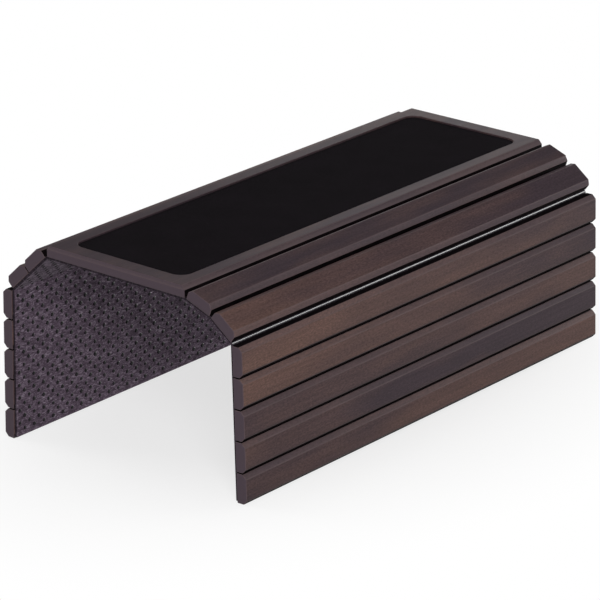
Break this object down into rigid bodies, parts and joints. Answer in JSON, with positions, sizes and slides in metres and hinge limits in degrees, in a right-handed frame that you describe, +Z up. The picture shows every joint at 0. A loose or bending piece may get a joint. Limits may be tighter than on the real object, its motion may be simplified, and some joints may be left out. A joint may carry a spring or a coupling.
{
  "type": "sofa arm tray",
  "caption": "Wooden sofa arm tray: a flat board with a felt mat in a shallow recess, and slats on a dotted cloth lining that fold down over both sides of the arm.",
  "frame": {"origin": "middle of the footprint, on the surface that the lowest slats stand on", "axes": "+X along the board and the slats, +Y from front to back, +Z up; the board leans 2.5 degrees to the front"},
  "size_m": [0.37, 0.2114, 0.141],
  "materials": {
    "board_wood": "dark stained, satin",
    "slat_wood": "dark stained, satin",
    "felt": "short dense felt",
    "lining_cloth": "mottled felt with small dark anti-slip dots"
  },
  "bodies": {
    "tray": {"panel": "board_wood", "mat": "felt", "lining_centre": "lining_cloth"},
    "front_1": {"front_slat_1": "slat_wood", "front_lining_1": "lining_cloth"},
    "front_2": {"front_slat_2": "slat_wood", "front_lining_2": "lining_cloth"},
    "front_3": {"front_slat_3": "slat_wood", "front_lining_3": "lining_cloth"},
    "front_4": {"front_slat_4": "slat_wood", "front_lining_4": "lining_cloth"},
    "front_5": {"front_slat_5": "slat_wood", "front_lining_5": "lining_cloth"},
    "front_6": {"front_slat_6": "slat_wood", "front_lining_6": "lining_cloth"},
    "front_7": {"front_slat_7": "slat_wood", "front_lining_7": "lining_cloth"},
    "back_1": {"back_slat_1": "slat_wood", "back_lining_1": "lining_cloth"},
    "back_2": {"back_slat_2": "slat_wood", "back_lining_2": "lining_cloth"},
    "back_3": {"back_slat_3": "slat_wood", "back_lining_3": "lining_cloth"},
    "back_4": {"back_slat_4": "slat_wood", "back_lining_4": "lining_cloth"},
    "back_5": {"back_slat_5": "slat_wood", "back_lining_5": "lining_cloth"},
    "back_6": {"back_slat_6": "slat_wood", "back_lining_6": "lining_cloth"},
    "back_7": {"back_slat_7": "slat_wood", "back_lining_7": "lining_cloth"}
  },
  "joints": [
    {"name": "front_fold_1", "type": "hinge", "parent": "tray", "child": "front_1", "pos_m": [0, -0.06075, 0.12641], "axis": [1, 0, 0], "range_deg": [-20.5, 25.5]},
    {"name": "front_fold_2", "type": "hinge", "parent": "front_1", "child": "front_2", "pos_m": [0, -0.08008, 0.1182], "axis": [1, 0, 0], "range_deg": [-17, 7]},
    {"name": "front_fold_3", "type": "hinge", "parent": "front_2", "child": "front_3", "pos_m": [0, -0.09617, 0.1047], "axis": [1, 0, 0], "range_deg": [-51, 9]},
    {"name": "front_fold_4", "type": "hinge", "parent": "front_3", "child": "front_4", "pos_m": [0, -0.0958, 0.08371], "axis": [1, 0, 0], "range_deg": [0, 34]},
    {"name": "front_fold_5", "type": "hinge", "parent": "front_4", "child": "front_5", "pos_m": [0, -0.09544, 0.06271], "axis": [1, 0, 0], "range_deg": [0, 34]},
    {"name": "front_fold_6", "type": "hinge", "parent": "front_5", "child": "front_6", "pos_m": [0, -0.09507, 0.04171], "axis": [1, 0, 0], "range_deg": [0, 34]},
    {"name": "front_fold_7", "type": "hinge", "parent": "front_6", "child": "front_7", "pos_m": [0, -0.0947, 0.02072], "axis": [1, 0, 0], "range_deg": [0, 34]},
    {"name": "back_fold_1", "type": "hinge", "parent": "tray", "child": "back_1", "pos_m": [0, 0.05713, 0.13155], "axis": [-1, 0, 0], "range_deg": [-43.08, 2.92]},
    {"name": "back_fold_2", "type": "hinge", "parent": "back_1", "child": "back_2", "pos_m": [0, 0.07308, 0.11789], "axis": [-1, 0, 0], "range_deg": [0, 24]},
    {"name": "back_fold_3", "type": "hinge", "parent": "back_2", "child": "back_3", "pos_m": [0, 0.08904, 0.10423], "axis": [-1, 0, 0], "range_deg": [-45.42, 14.58]},
    {"name": "back_fold_4", "type": "hinge", "parent": "back_3", "child": "back_4", "pos_m": [0, 0.0905, 0.08328], "axis": [-1, 0, 0], "range_deg": [0, 34]},
    {"name": "back_fold_5", "type": "hinge", "parent": "back_4", "child": "back_5", "pos_m": [0, 0.09196, 0.06234], "axis": [-1, 0, 0], "range_deg": [0, 34]},
    {"name": "back_fold_6", "type": "hinge", "parent": "back_5", "child": "back_6", "pos_m": [0, 0.09343, 0.04139], "axis": [-1, 0, 0], "range_deg": [0, 34]},
    {"name": "back_fold_7", "type": "hinge", "parent": "back_6", "child": "back_7", "pos_m": [0, 0.09489, 0.02044], "axis": [-1, 0, 0], "range_deg": [0, 34]}
  ]
}
